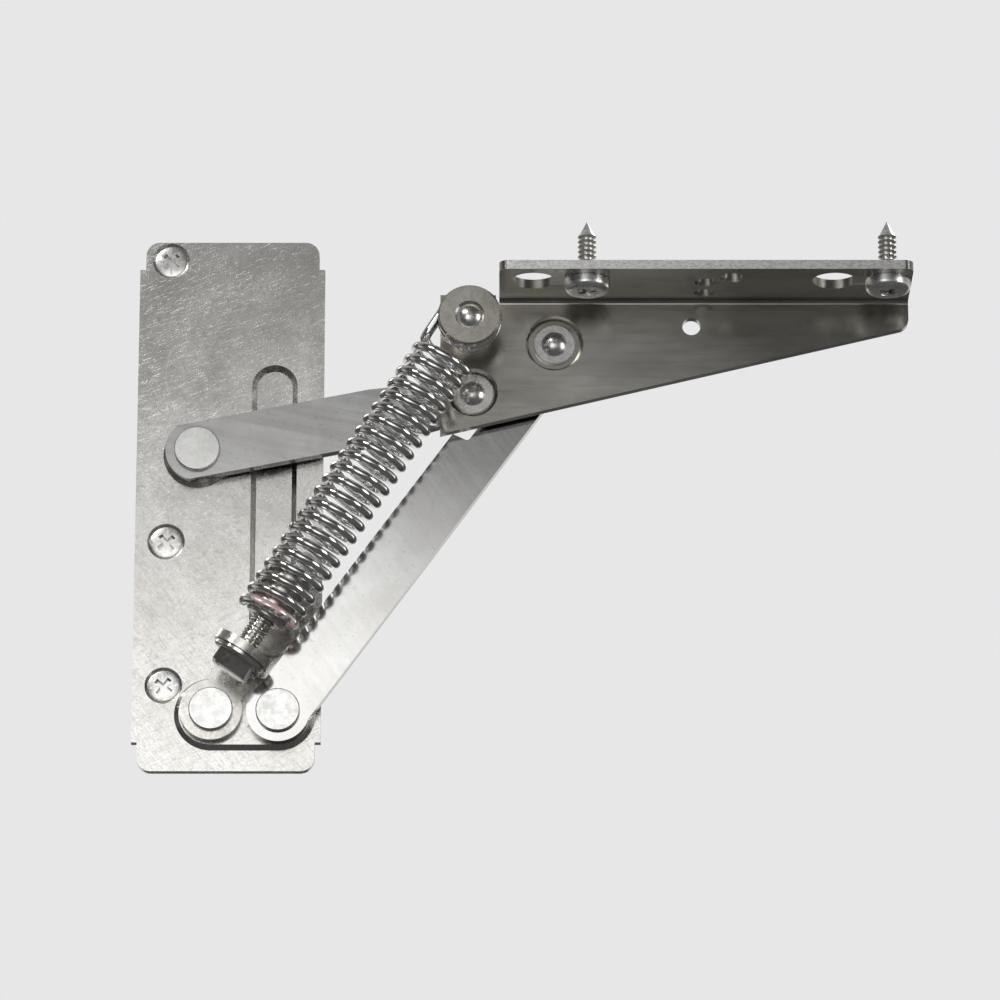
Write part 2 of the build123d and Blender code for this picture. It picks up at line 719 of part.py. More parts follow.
# ---- Pan-head screws through the narrow ends of the keyholes, up into the flap ----
lid_head_top_z = flange_under_z - seat_gap
lid_head_low_z = lid_head_top_z - lid_screw_head_height
lid_head_flat_radius = lid_screw_head_radius - lid_screw_head_height / 2
lid_head_shoulder = (
    lid_head_flat_radius + lid_screw_head_height / 2 * cos(radians(45)),
    lid_head_top_z - lid_screw_head_height / 2 - lid_screw_head_height / 2 * sin(radians(45)),
)
lid_screws = {"lid_screw_inner": lid_screw_xs[0], "lid_screw_outer": lid_screw_xs[1]}
for screw_name, screw_x in lid_screws.items():
    lid_screw_axis = Axis((screw_x, -lid_screw_level, 0), (0, 0, 1))
    with BuildPart() as lid_screw:
        with BuildSketch(Plane(origin=(screw_x, -lid_screw_level, 0), x_dir=(1, 0, 0), z_dir=(0, -1, 0))):
            with BuildLine():
                Line((0, lid_head_low_z), (lid_head_flat_radius, lid_head_low_z))
                ThreePointArc(
                    (lid_head_flat_radius, lid_head_low_z),
                    lid_head_shoulder,
                    (lid_screw_head_radius, lid_head_top_z - lid_screw_head_height / 2),
                )
                Polyline(
                    (lid_screw_head_radius, lid_head_top_z - lid_screw_head_height / 2),
                    (lid_screw_head_radius, lid_head_top_z),
                    (lid_screw_neck_radius, lid_head_top_z),
                    (lid_screw_neck_radius, flange_top_z),
                    (lid_screw_radius, flange_top_z + lid_screw_neck_taper),
                    (lid_screw_radius, lid_head_top_z + lid_screw_length - screw_tip_length),
                    (0, lid_head_top_z + lid_screw_length),
                    (0, lid_head_low_z),
                )
            make_face()
        revolve(axis=lid_screw_axis)
        with BuildSketch(Plane(origin=(screw_x, -lid_screw_level, lid_head_low_z), z_dir=(0, 0, -1))):
            Rectangle(2 * recess_span, recess_width)
            Rectangle(recess_width, 2 * recess_span)
        extrude(amount=-recess_depth, mode=Mode.SUBTRACT)
    export(lid_screw, screw_name)
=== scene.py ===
"""Lid stay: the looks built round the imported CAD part. Units are metres unless a name says mm."""

import math

import bmesh
import bpy
from mathutils import Matrix, Vector

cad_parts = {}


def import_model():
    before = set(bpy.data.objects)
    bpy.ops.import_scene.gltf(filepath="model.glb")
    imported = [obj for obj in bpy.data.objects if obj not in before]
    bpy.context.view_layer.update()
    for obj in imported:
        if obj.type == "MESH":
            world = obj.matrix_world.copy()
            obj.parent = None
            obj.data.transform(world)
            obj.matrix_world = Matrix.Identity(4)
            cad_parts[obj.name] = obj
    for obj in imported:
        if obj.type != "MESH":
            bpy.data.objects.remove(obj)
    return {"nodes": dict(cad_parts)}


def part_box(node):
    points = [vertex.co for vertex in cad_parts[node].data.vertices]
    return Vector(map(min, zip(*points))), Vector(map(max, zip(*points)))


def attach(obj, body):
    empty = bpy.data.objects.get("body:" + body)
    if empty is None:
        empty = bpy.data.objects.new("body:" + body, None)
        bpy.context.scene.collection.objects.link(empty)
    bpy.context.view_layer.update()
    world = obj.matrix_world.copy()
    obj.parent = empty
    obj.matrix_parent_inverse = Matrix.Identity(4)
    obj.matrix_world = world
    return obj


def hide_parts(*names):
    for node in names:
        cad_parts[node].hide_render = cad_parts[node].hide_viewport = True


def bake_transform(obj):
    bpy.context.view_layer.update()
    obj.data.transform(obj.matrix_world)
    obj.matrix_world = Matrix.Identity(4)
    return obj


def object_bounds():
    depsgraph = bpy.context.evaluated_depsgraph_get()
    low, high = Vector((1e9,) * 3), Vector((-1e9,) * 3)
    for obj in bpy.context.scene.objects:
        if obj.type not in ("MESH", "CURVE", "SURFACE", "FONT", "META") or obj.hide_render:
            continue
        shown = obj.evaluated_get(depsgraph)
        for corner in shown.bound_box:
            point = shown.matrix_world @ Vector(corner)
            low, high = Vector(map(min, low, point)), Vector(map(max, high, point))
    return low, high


MM = 0.001

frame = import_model()
size_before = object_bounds()
nodes = frame["nodes"]
scene = bpy.context.scene


# ---- Places taken from the frame ----
def middle(node):
    """Middle of a CAD node's box."""
    low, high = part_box(node)
    return (low + high) / 2


SPRING_BASE = middle("spring_base_rivet")
SPOOL = middle("spring_spool")
WIRE = 1.05 * MM
COIL_RADIUS = 5.85 * MM
COIL_TURNS = 22
COIL_START = 21.7 * MM
HOOK_LEG = 8.6 * MM
HOOK_OPENING = math.radians(40)
BASE_LEVEL = 12.5 * MM
POST_LEVEL = 19.1 * MM
spring_foot = Vector((SPRING_BASE.x, -BASE_LEVEL, SPRING_BASE.z))
hook_centre = Vector((SPOOL.x, -POST_LEVEL, SPOOL.z))
spring_length = (hook_centre - spring_foot).length
along = (hook_centre - spring_foot).normalized()
left = Vector((-along.z, 0, along.x)).normalized()
front = along.cross(left)


def on_spring(distance, aside=0.0, forward=0.0):
    """A point at a distance up the spring's line, and aside from it."""
    return spring_foot + along * distance + left * aside + front * forward


def turned(radius, angle, distance):
    """A point round the spring's line."""
    return on_spring(distance, radius * math.cos(angle), radius * math.sin(angle))


# ---- Materials: every one is procedural ----
class Nodes:
    """Short ways to add shader nodes to one material."""

    def __init__(self, name):
        self.material = bpy.data.materials.new(name)
        self.material.use_nodes = True
        self.tree = self.material.node_tree
        self.shader = self.tree.nodes["Principled BSDF"]
        self.place = self.tree.nodes.new("ShaderNodeTexCoord")

    def add(self, kind, **values):
        node = self.tree.nodes.new(kind)
        for key, value in values.items():
            setattr(node, key, value)
        return node

    def link(self, source, target):
        self.tree.links.new(source, target)

    def mapping(self, scale=(1, 1, 1), turn=0.0, move=(0, 0, 0)):
        """Object coordinates, turned about Y by degrees, then moved and scaled."""
        turning = self.add("ShaderNodeMapping")
        turning.inputs["Rotation"].default_value = (0, math.radians(turn), 0)
        self.link(self.place.outputs["Object"], turning.inputs["Vector"])
        node = self.add("ShaderNodeMapping")
        node.inputs["Location"].default_value = move
        node.inputs["Scale"].default_value = scale
        self.link(turning.outputs["Vector"], node.inputs["Vector"])
        return node.outputs["Vector"]

    def noise(self, vector, scale, detail=4.0, rough=0.6, distortion=0.0):
        node = self.add("ShaderNodeTexNoise")
        node.inputs["Scale"].default_value = scale
        node.inputs["Detail"].default_value = detail
        node.inputs["Roughness"].default_value = rough
        node.inputs["Distortion"].default_value = distortion
        self.link(vector, node.inputs["Vector"])
        return node.outputs["Fac"]

    def ramp(self, source, *stops):
        node = self.add("ShaderNodeValToRGB")
        elements = node.color_ramp.elements
        while len(elements) < len(stops):
            elements.new(0.5)
        for element, (position, colour) in zip(elements, stops):
            element.position = position
            element.color = colour if len(colour) == 4 else (*colour, 1)
        self.link(source, node.inputs["Fac"])
        return node.outputs["Color"]

    def grey_ramp(self, source, *stops):
        return self.ramp(source, *((p, (v, v, v)) for p, v in stops))

    def mix(self, factor, first, second, blend="MIX"):
        node = self.add("ShaderNodeMix", data_type="RGBA", blend_type=blend)
        for value, name in ((factor, "Factor"), (first, "A"), (second, "B")):
            kinds = ("VALUE",) if name == "Factor" else ("RGBA",)
            socket = [s for s in node.inputs if s.name == name and s.type in kinds][0]
            if isinstance(value, bpy.types.NodeSocket):
                self.link(value, socket)
            elif name == "Factor":
                socket.default_value = value
            else:
                socket.default_value = (*value, 1)
        return [s for s in node.outputs if s.type == "RGBA"][0]

    def maths(self, kind, first, second=0.0):
        node = self.add("ShaderNodeMath", operation=kind)
        for value, socket in ((first, node.inputs[0]), (second, node.inputs[1])):
            if isinstance(value, bpy.types.NodeSocket):
                self.link(value, socket)
            else:
                socket.default_value = value
        return node.outputs[0]

    def axis(self, vector, name):
        node = self.add("ShaderNodeSeparateXYZ")
        self.link(vector, node.inputs[0])
        return node.outputs[name]

    def bump(self, height, strength, depth_mm, under=None):
        node = self.add("ShaderNodeBump")
        node.inputs["Strength"].default_value = strength
        node.inputs["Distance"].default_value = depth_mm * MM
        self.link(height, node.inputs["Height"])
        if under is not None:
            self.link(under, node.inputs["Normal"])
        return node.outputs["Normal"]

    def finish(self, colour, roughness, normal=None, metallic=1.0, anisotropic=0.0):
        pairs = ((colour, "Base Color"), (roughness, "Roughness"), (normal, "Normal"))
        for value, name in pairs:
            if value is None:
                continue
            if isinstance(value, bpy.types.NodeSocket):
                self.link(value, self.shader.inputs[name])
            else:
                self.shader.inputs[name].default_value = value
        self.shader.inputs["Metallic"].default_value = metallic
        self.shader.inputs["Anisotropic"].default_value = anisotropic
        return self.material


def scratches(n, turn, scale, stretch=90.0):
    """Fine straight scratches, as a value that is high in the scratches."""
    streak = n.noise(n.mapping(scale=(scale, scale, scale * stretch), turn=turn), 1.0, 2.0, 0.5)
    return n.grey_ramp(streak, (0.60, 0.0), (0.70, 1.0))


def torn_edge_highlight(n, colour, rough, front_y):
    """A painted highlight on the edge that faces the front at front_y: near-white colour over a torn
    texture.
    """
    depth = n.axis(n.mapping(), "Y")
    edge = n.maths("LESS_THAN", depth, front_y + 0.02 * MM)
    torn = n.noise(n.mapping(scale=(1, 1, 2.5)), 1400.0, 3.0, 0.7)
    # painted highlight: the front edge's colour is lifted to near white
    bright = n.ramp(torn, (0.36, (0.62, 0.615, 0.60)), (0.58, (0.95, 0.95, 0.94)))
    return n.mix(edge, colour, bright), n.mix(edge, rough, (0.42, 0.42, 0.42))


def plated_sheet():
    """Nickel-plated base plate: mottled, scratched, warm grey."""
    n = Nodes("plated_sheet")
    cloud = n.noise(n.mapping(), 55.0, 5.0, 0.65, 0.4)
    grain = n.noise(n.mapping(), 900.0, 3.0, 0.7)
    speck = n.noise(n.mapping(move=(0.3, 0.1, 0.7)), 2600.0, 2.0, 0.6)
    colour = n.ramp(
        cloud,
        (0.30, (0.54, 0.525, 0.495)),
        (0.50, (0.64, 0.625, 0.60)),
        (0.72, (0.75, 0.742, 0.725)),
    )
    colour = n.mix(n.grey_ramp(grain, (0.52, 0.0), (0.70, 0.35)), colour, (0.40, 0.385, 0.35))
    lines = n.maths("MAXIMUM", scratches(n, 24, 260.0), scratches(n, -52, 210.0))
    colour = n.mix(n.maths("MULTIPLY", lines, 0.30), colour, (0.86, 0.85, 0.82))
    rough = n.grey_ramp(cloud, (0.30, 0.17), (0.70, 0.25))
    rough = n.mix(n.grey_ramp(speck, (0.55, 0.0), (0.75, 0.5)), rough, (0.45, 0.45, 0.45))
    height = n.mix(0.5, grain, speck)
    normal = n.bump(lines, 0.25, 0.02, n.bump(height, 0.35, 0.03))
    return n.finish(colour, rough, normal)


def bracket_sheet():
    """Lid bracket: the same plating with rolling marks, drawn out along X."""
    n = Nodes("bracket_sheet")
    cloud = n.noise(n.mapping(scale=(0.5, 1, 1)), 60.0, 5.0, 0.6, 0.3)
    rolled = n.noise(n.mapping(scale=(60, 900, 900)), 1.0, 4.0, 0.6)
    grain = n.noise(n.mapping(), 1500.0, 3.0, 0.7)
    colour = n.ramp(
        cloud,
        (0.32, (0.40, 0.385, 0.34)),
        (0.52, (0.52, 0.505, 0.46)),
        (0.72, (0.64, 0.625, 0.58)),
    )
    colour = n.mix(n.grey_ramp(rolled, (0.50, 0.0), (0.72, 0.30)), colour, (0.30, 0.285, 0.25))
    rough = n.grey_ramp(cloud, (0.30, 0.16), (0.70, 0.26))
    normal = n.bump(rolled, 0.25, 0.02, n.bump(grain, 0.25, 0.02))
    # painted highlight along the bracket's front edge, over a torn texture
    colour, rough = torn_edge_highlight(n, colour, rough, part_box("lid_bracket")[0].y)
    return n.finish(colour, rough, normal)


def polished_bar(name, turn, smoothest, roughest):
    """Arms: smooth bright bars with a faint grain along their length."""
    n = Nodes(name)
    grain = n.noise(n.mapping(scale=(30, 800, 800), turn=turn), 1.0, 3.0, 0.6)
    cloud = n.noise(n.mapping(), 80.0, 4.0, 0.6, 0.3)
    speck = n.noise(n.mapping(move=(0.2, 0.5, 0.1)), 1800.0, 2.0, 0.6)
    colour = n.ramp(cloud, (0.35, (0.52, 0.515, 0.50)), (0.65, (0.60, 0.597, 0.585)))
    colour = n.mix(n.grey_ramp(speck, (0.62, 0.0), (0.74, 0.45)), colour, (0.34, 0.335, 0.32))
    rough = n.grey_ramp(grain, (0.35, smoothest), (0.70, roughest))
    normal = n.bump(grain, 0.18, 0.015)
    return n.finish(colour, rough, normal)


def rivet_steel():
    """Rivet heads: bright, with small dents."""
    n = Nodes("rivet_steel")
    dents = n.noise(n.mapping(), 700.0, 4.0, 0.6)
    cloud = n.noise(n.mapping(), 260.0, 3.0, 0.6)
    colour = n.ramp(cloud, (0.35, (0.68, 0.675, 0.65)), (0.65, (0.82, 0.815, 0.80)))
    rough = n.grey_ramp(dents, (0.35, 0.22), (0.70, 0.36))
    return n.finish(colour, rough, n.bump(dents, 0.22, 0.04))


def plain_steel(name, grain_scale, cloud_scale, darkest, lightest, roughness, bump):
    """Turned or folded plated steel: a clouded colour over a fine grain."""
    n = Nodes(name)
    grain = n.noise(n.mapping(), grain_scale, 4.0, 0.65)
    cloud = n.noise(n.mapping(), cloud_scale, 4.0, 0.6, 0.4)
    colour = n.ramp(cloud, (0.34, darkest), (0.66, lightest))
    rough = n.grey_ramp(grain, (0.35, roughness[0]), (0.70, roughness[1]))
    return n.finish(colour, rough, n.bump(grain, *bump))


def spring_wire():
    """Spring: bright drawn wire with a fine grain and a red mark on the lowest coil."""
    n = Nodes("spring_wire")
    grain = n.noise(n.mapping(), 1600.0, 3.0, 0.6)
    cloud = n.noise(n.mapping(), 140.0, 3.0, 0.6, 0.3)
    colour = n.ramp(cloud, (0.35, (0.80, 0.795, 0.78)), (0.65, (0.92, 0.92, 0.91)))
    paint = n.add("ShaderNodeAttribute", attribute_name="paint").outputs["Fac"]
    worn = n.grey_ramp(n.noise(n.mapping(), 420.0, 3.0, 0.6), (0.44, 0.0), (0.60, 0.75))
    patch = n.maths("MULTIPLY", paint, worn)
    colour = n.mix(patch, colour, (0.42, 0.13, 0.11))
    rough = n.mix(patch, n.grey_ramp(grain, (0.35, 0.07), (0.70, 0.14)), (0.5, 0.5, 0.5))
    material = n.finish(colour, rough, n.bump(grain, 0.12, 0.015))
    n.link(n.maths("SUBTRACT", 1.0, patch), n.shader.inputs["Metallic"])
    return material


# Name: grain and cloud scales, darkest and lightest colour, roughness range, bump.
PLAIN_STEELS = {
    "spool_steel": (1100.0, 190.0, (0.46, 0.44, 0.385), (0.60, 0.58, 0.53), (0.24, 0.34), (0.12, 0.02)),
    "bolt_steel": (1300.0, 230.0, (0.68, 0.665, 0.62), (0.88, 0.87, 0.84), (0.10, 0.20), (0.15, 0.02)),
    "stirrup_steel": (1000.0, 150.0, (0.56, 0.545, 0.50), (0.74, 0.73, 0.69), (0.22, 0.38), (0.25, 0.03)),
    "screw_steel": (1500.0, 300.0, (0.76, 0.755, 0.73), (0.92, 0.915, 0.90), (0.24, 0.38), (0.25, 0.03)),
}
UPPER_ARM_RUN = (58.9, 11.7)
LOWER_ARM_RUN = (58.45, 81.0)


def grain_turn(run):
    """Turn about Y that lays a grain along an arm with this (X, Z) run."""
    return -math.degrees(math.atan2(run[1], run[0]))


finishes = {
    "plated_sheet": plated_sheet(),
    "bracket_sheet": bracket_sheet(),
    "upper_bar": polished_bar("upper_bar", grain_turn(UPPER_ARM_RUN), 0.15, 0.24),
    "lower_bar": polished_bar("lower_bar", grain_turn(LOWER_ARM_RUN), 0.09, 0.15),
    "rivet_steel": rivet_steel(),
    "spring_wire": spring_wire(),
    **{name: plain_steel(name, *values) for name, values in PLAIN_STEELS.items()},
}
node_finishes = {
    "base_plate": "plated_sheet",
    "lid_bracket": "bracket_sheet",
    "upper_arm": "upper_bar",
    "lower_arm": "lower_bar",
    "spring_spool": "spool_steel",
    "spool_washer": "spool_steel",
    "spring_post": "rivet_steel",
    "spring_stirrup": "stirrup_steel",
}
for rivet in (
    "lower_arm_base_rivet",
    "spring_base_rivet",
    "upper_arm_base_rivet",
    "upper_arm_base_rivet_tail",
    "upper_arm_lid_rivet",
    "lower_arm_lid_rivet",
):
    node_finishes[rivet] = "rivet_steel"


def smooth(thing, angle=35):
    """Smooth shading, with edges sharper than the angle left crisp."""
    mesh = thing.data
    mesh.shade_smooth()
    mesh.set_sharp_from_angle(angle=math.radians(angle))


for node, finish in node_finishes.items():
    nodes[node].data.materials.clear()
    nodes[node].data.materials.append(finishes[finish])


def piece(name, mesh, finish, angle=35):
    """A new object from a mesh, with its finish."""
    thing = bpy.data.objects.new(name, mesh)
    scene.collection.objects.link(thing)
    mesh.materials.append(finishes[finish])
    smooth(thing, angle)
    return thing


# ---- Spring: round wire along a helix, a bend, a leg and the hook ----
TURN_STEPS = 48
STEPS_LEFT_FOR_BEND = 3
BEND_STEPS = 8
BEND_REACH = 2.2 * MM
BEND_DEPTH = 0.6
HOOK_STEPS = 60
WIRE_SIDES = 20
PAINTED_STEPS = 40


def spring_points():
    """Points along the wire's middle, from the lowest turn to the hook's end."""
    coil_end = spring_length - HOOK_LEG
    coil_steps = COIL_TURNS * TURN_STEPS
    for i in range(coil_steps - STEPS_LEFT_FOR_BEND):
        angle = 2 * math.pi * i / TURN_STEPS
        share = i / coil_steps
        yield turned(COIL_RADIUS, angle, COIL_START + share * (coil_end - COIL_START))
    for i in range(BEND_STEPS + 1):
        turn = math.pi / 2 * i / BEND_STEPS
        forward = -BEND_REACH * (1 - math.sin(turn)) * BEND_DEPTH
        yield on_spring(coil_end + BEND_REACH * (1 - math.cos(turn)), COIL_RADIUS, forward)
    for share in (0.35, 0.7):
        yield on_spring(coil_end + BEND_REACH + share * (HOOK_LEG - BEND_REACH), COIL_RADIUS)
    for i in range(HOOK_STEPS + 1):
        angle = math.pi / 2 - (2 * math.pi - HOOK_OPENING) * i / HOOK_STEPS
        ahead, aside = COIL_RADIUS * math.cos(angle), COIL_RADIUS * math.sin(angle)
        yield on_spring(spring_length + ahead, aside)


def skin(work, rings):
    """Faces between rings of points; a ring of one point is an end on the axis."""
    sides = max(len(ring) for ring in rings)
    for first, second in zip(rings, rings[1:]):
        for k in range(sides):
            a, b = first[k % len(first)], first[(k + 1) % len(first)]
            c, d = second[(k + 1) % len(second)], second[k % len(second)]
            corners = list(dict.fromkeys((a, b, c, d)))
            if len(corners) > 2:
                work.faces.new(corners)


def settled(work, mesh):
    """The mesh, filled from the working copy."""
    work.to_mesh(mesh)
    work.free()
    return mesh


def tube(points, radius, sides, painted):
    """A mesh tube along points; the first rings carry the paint mark."""
    mesh = bpy.data.meshes.new("tube")
    work = bmesh.new()
    share = work.verts.layers.float.new("paint")
    rings = []
    side = (points[1] - points[0]).orthogonal().normalized()
    count = len(points)
    for i, point in enumerate(points):
        ahead = (points[min(i + 1, count - 1)] - points[max(i - 1, 0)]).normalized()
        side = (side - ahead * side.dot(ahead)).normalized()
        other = ahead.cross(side)
        ring = []
        for k in range(sides):
            angle = 2 * math.pi * k / sides
            outward = side * math.cos(angle) + other * math.sin(angle)
            vert = work.verts.new(point + outward * radius)
            vert[share] = 1.0 if i < painted else 0.0
            ring.append(vert)
        rings.append(ring)
    skin(work, rings)
    work.faces.new(list(reversed(rings[0])))
    work.faces.new(rings[-1])
    return settled(work, mesh)


wire = tube(list(spring_points()), WIRE, WIRE_SIDES, PAINTED_STEPS)
spring = piece("spring_wire_coil", wire, "spring_wire", 60)
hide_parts("tension_spring")
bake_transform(spring)


# ---- Adjusting bolt: hexagon with chamfers, flange and a real thread ----
HEX_ACROSS = 8.0 * MM
HEX_HEIGHT = 3.4 * MM
FLANGE_RADIUS = 5.9 * MM
FLANGE_HEIGHT = 1.2 * MM
TAB_START = 11.7 * MM
THREAD_RADIUS = 2.4 * MM
THREAD_PITCH = 0.8 * MM
THREAD_DEPTH = 0.42 * MM
THREAD_STEEPNESS = 1.35
THREAD_STEPS = 150
BOLT_SIDES = 72
PLUG_SIDES = 96
BOLT_LENGTH = 19.0 * MM
SEAT_GAP = 0.05 * MM


def lathe(name, profile, sides, spot=turned):
    """A mesh turned from (radius, height) pairs; spot gives each point's place.
    A radius may be a function of the angle, for hexagons and threads."""
    mesh = bpy.data.meshes.new(name)
    work = bmesh.new()
    rings = []
    for radius, height in profile:
        if radius == 0:
            rings.append([work.verts.new(spot(0, 0, height))])
            continue
        ring = []
        for k in range(sides):
            angle = 2 * math.pi * k / sides
            size = radius(angle) if callable(radius) else radius
            ring.append(work.verts.new(spot(size, angle, height)))
        rings.append(ring)
    skin(work, rings)
    bmesh.ops.recalc_face_normals(work, faces=work.faces)
    return settled(work, mesh)


def hexagon(limit):
    """Radius of a hexagon at an angle, cut off at a limit for the chamfer."""

    def radius(angle):
        sixth = (angle + math.pi / 6) % (math.pi / 3) - math.pi / 6
        return min(HEX_ACROSS / 2 / math.cos(sixth), limit)

    return radius


def thread(phase):
    """Radius of a thread at an angle, its crest running round once a pitch."""

    def radius(angle):
        turn = (phase - angle / (2 * math.pi)) % 1.0
        ridge = 1 - abs(2 * turn - 1)
        return THREAD_RADIUS - THREAD_DEPTH * (1 - min(1.0, ridge * THREAD_STEEPNESS))

    return radius


flange_low = TAB_START - SEAT_GAP - FLANGE_HEIGHT
head_low = flange_low - HEX_HEIGHT
thread_start = flange_low + FLANGE_HEIGHT
bolt_end = flange_low + FLANGE_HEIGHT + SEAT_GAP + BOLT_LENGTH
bolt_profile = [
    (0, head_low),
    (3.6 * MM, head_low),
    (hexagon(4.0 * MM), head_low + 0.08 * MM),
    (hexagon(5 * MM), head_low + 0.55 * MM),
    (hexagon(5 * MM), flange_low),
    (5.2 * MM, flange_low),
    (FLANGE_RADIUS - 0.15 * MM, flange_low + 0.25 * MM),
    (FLANGE_RADIUS, flange_low + 0.45 * MM),
    (FLANGE_RADIUS, flange_low + FLANGE_HEIGHT - 0.1 * MM),
    (FLANGE_RADIUS - 0.1 * MM, flange_low + FLANGE_HEIGHT),
    (THREAD_RADIUS, flange_low + FLANGE_HEIGHT),
]
for step in range(THREAD_STEPS + 1):
    place = thread_start + (bolt_end - thread_start) * step / THREAD_STEPS
    bolt_profile.append((thread((place - thread_start) / THREAD_PITCH), place))
bolt_profile.append((0, bolt_end))
bolt_mesh = lathe("bolt", bolt_profile, BOLT_SIDES)
bolt = piece("adjusting_bolt_threaded", bolt_mesh, "bolt_steel", 30)
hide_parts("adjusting_bolt")
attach(bolt, "bolt")

# ---- Plug: screwed into the lower coils, with a rounded lip ----
PLUG_START = 20.6 * MM
PLUG_END = PLUG_START + 12.5 * MM
PLUG_RADIUS = 4.6 * MM
PLUG_BORE = 2.45 * MM
plug_profile = [
    (PLUG_BORE, PLUG_START + 0.3 * MM),
    (PLUG_BORE + 0.3 * MM, PLUG_START),
    (PLUG_RADIUS - 0.4 * MM, PLUG_START),
    (PLUG_RADIUS, PLUG_START + 0.4 * MM),
    (PLUG_RADIUS, PLUG_END - 0.4 * MM),
    (PLUG_RADIUS - 0.4 * MM, PLUG_END),
    (PLUG_BORE, PLUG_END),
    (PLUG_BORE, PLUG_START + 0.3 * MM),
]
plug_mesh = lathe("plug", plug_profile, PLUG_SIDES)
plug = piece("spring_plug_rounded", plug_mesh, "stirrup_steel")
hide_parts("spring_plug")
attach(plug, "spring_adjuster")

# ---- Screws: turned heads with a cross recess and fine star marks ----
SCREW_SIDES = 64
RECESS_ARM = 2.2 * MM
RECESS_HALF = 0.52 * MM
RECESS_DEPTH = 1.2 * MM
MARK_ARM = RECESS_ARM * 1.12
MARK_HALF = 0.09 * MM
MARK_DEPTH = 0.12 * MM


def upright(radius, angle, height):
    """A point round the upright axis of a screw that isn't placed yet."""
    return (radius * math.cos(angle), radius * math.sin(angle), height)


def screw_mesh(name, place, head_way, turn, profile):
    """A screw turned from its profile; head_way points out of the head."""
    spin = head_way.to_track_quat("Z", "Y").to_matrix().to_4x4()
    local = Matrix.Translation(place) @ spin @ Matrix.Rotation(turn, 4, "Z")
    body = bpy.data.objects.new(name, lathe(name, profile, SCREW_SIDES, upright))
    scene.collection.objects.link(body)
    top = profile[0][1]
    cutters = [
        cross_cutter(top, RECESS_DEPTH, 0.0, RECESS_ARM, RECESS_HALF),
        cross_cutter(top, MARK_DEPTH, math.pi / 4, MARK_ARM, MARK_HALF),
    ]
    for cutter in cutters:
        cut = body.modifiers.new("recess", "BOOLEAN")
        cut.object = cutter
        cut.operation = "DIFFERENCE"
        cut.solver = "EXACT"
    bpy.context.view_layer.update()
    finished = body.evaluated_get(bpy.context.evaluated_depsgraph_get())
    shape = bpy.data.meshes.new_from_object(finished)
    bpy.data.objects.remove(body)
    for cutter in cutters:
        bpy.data.objects.remove(cutter)
    shape.transform(local)
    shape.name = name
    return shape


def cross_cutter(top, depth, turn, reach, half):
    """Cross-shaped cutter whose arms narrow towards its bottom."""
    mesh = bpy.data.meshes.new("cutter")
    work = bmesh.new()
    deep_reach = reach * 0.82
    outline = []
    for quarter in range(4):
        base = turn + quarter * math.pi / 2
        way = Vector((math.cos(base), math.sin(base)))
        aside = Vector((-way.y, way.x))
        outline.append((way, aside))

    def loop(height, length):
        verts = []
        for way, aside in outline:
            end, inner = way * length, way * half
            for spot in (end - aside * half, end + aside * half, inner + aside * half):
                verts.append(work.verts.new((spot.x, spot.y, height)))
        return verts

    top_loop = loop(top + 0.3 * MM, reach)
    low_loop = loop(top - depth, deep_reach if depth > 0.5 * MM else reach)
    skin(work, [top_loop, low_loop])
    work.faces.new(top_loop)
    work.faces.new(list(reversed(low_loop)))
    bmesh.ops.recalc_face_normals(work, faces=work.faces)
    cutter = bpy.data.objects.new("cutter", settled(work, mesh))
    scene.collection.objects.link(cutter)
    return cutter


def thread_ridges(stem, root, low, high, turns):
    """Pairs for sharp ridges of a stem radius over a root radius, from low to high."""
    pairs = []
    for k in range(turns):
        place = low + (high - low) * k / turns
        pairs += [(root, place), (stem, place + (high - low) / turns * 0.45)]
    return pairs


def plate_screw_profile():
    """Countersunk wood screw: heights are measured from the head's face."""
    head, neck, stem, length, tip = 3.5 * MM, 0.3 * MM, 1.75 * MM, 16.0 * MM, 3.0 * MM
    root = stem * 0.78
    profile = [(0, 0), (head - neck, 0), (head - 0.1 * MM, -0.08 * MM), (head, -0.25 * MM)]
    profile += [(stem, -(head - stem) - 0.05 * MM)]
    low = -(head - stem) - 1.0 * MM
    high = -(length - tip)
    profile += thread_ridges(stem, root, low, high, 11)
    profile += [(root, high), (0, -length)]
    return profile


def lid_screw_profile():
    """Pan-head screw: heights are measured from the head's face, downwards to the tip."""
    head, height, stem, neck = 4.8 * MM, 2.6 * MM, 2.0 * MM, 2.3 * MM
    root = stem * 0.75
    round_steps = 8
    profile = [(0, 0)]
    for k in range(round_steps + 1):
        angle = math.pi / 2 * k / round_steps
        radius = head - height / 2 + height / 2 * math.sin(angle)
        profile.append((radius, -height / 2 + height / 2 * math.cos(angle)))
    profile += [(head, -height), (neck, -height), (neck, -height - 2.05 * MM)]
    profile += [(root, -height - 2.3 * MM)]
    low, high = -height - 2.6 * MM, -height - 10.5 * MM
    profile += thread_ridges(stem, root, low, high, 7)
    profile += [(root, high), (0, -height - 13.5 * MM)]
    return profile


def add_screw(name, body, place, head_way, turn, profile):
    """A detailed screw in place of the CAD one, riding on its body."""
    mesh = screw_mesh(name, place, head_way, math.radians(turn), profile)
    screw = piece(name + "_detailed", mesh, "screw_steel", 30)
    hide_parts(name)
    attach(screw, body)


for name, turn in (
    ("plate_screw_top", 45),
    ("plate_screw_middle", 38),
    ("plate_screw_bottom", 52),
):
    low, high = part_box(name)
    place = Vector(((low.x + high.x) / 2, low.y, (low.z + high.z) / 2))
    add_screw(name, "base", place, Vector((0, -1, 0)), turn, plate_screw_profile())

for name, turn in (("lid_screw_inner", 20), ("lid_screw_outer", 62)):
    low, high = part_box(name)
    place = Vector(((low.x + high.x) / 2, (low.y + high.y) / 2, low.z))
    add_screw(name, "lid_side", place, Vector((0, 0, -1)), turn, lid_screw_profile())


